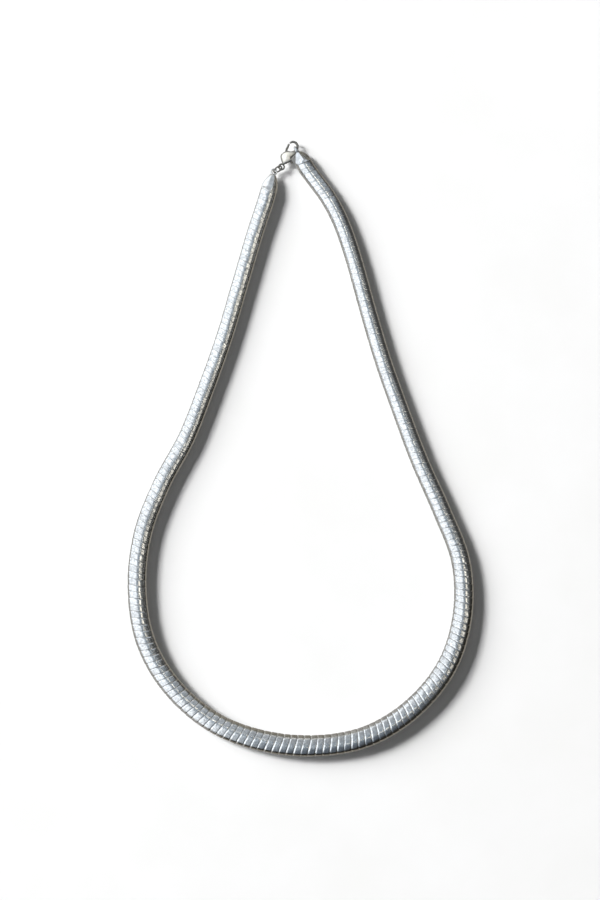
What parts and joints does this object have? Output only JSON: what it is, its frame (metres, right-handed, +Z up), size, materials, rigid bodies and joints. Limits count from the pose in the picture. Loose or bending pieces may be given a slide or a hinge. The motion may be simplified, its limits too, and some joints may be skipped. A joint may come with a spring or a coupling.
{
  "type": "snake chain necklace",
  "caption": "Round snake chain necklace of interlocked slanted links, thicker at the front, with bell-shaped end caps and a lobster clasp, lying closed in a pear-shaped loop.",
  "frame": {"origin": "centre of the loop's outline, on the surface that the necklace lies on", "axes": "+Z up from the surface, +Y from the front of the necklace towards its clasp, +X to the right seen from above"},
  "size_m": [0.1039, 0.1848, 0.0064],
  "materials": {
    "silver_chain": "polished, with fine handling scratches",
    "silver_caps": "polished",
    "silver_clasp": "polished cast metal"
  },
  "bodies": {
    "necklace": {"chain": "silver_chain", "end_cap_left": "silver_caps", "end_cap_right": "silver_caps", "jump_ring": "silver_clasp", "clasp_body": "silver_clasp"},
    "lever": {"clasp_lever": "silver_clasp"}
  },
  "joints": [
    {"name": "gate", "type": "hinge", "parent": "necklace", "child": "lever", "pos_m": [-0.00396, 0.0881, 0.0025], "axis": [0, 0, -1], "range_deg": [0, 18], "stiffness_Nm_per_rad": 0.002, "springref_deg": -11.46}
  ]
}
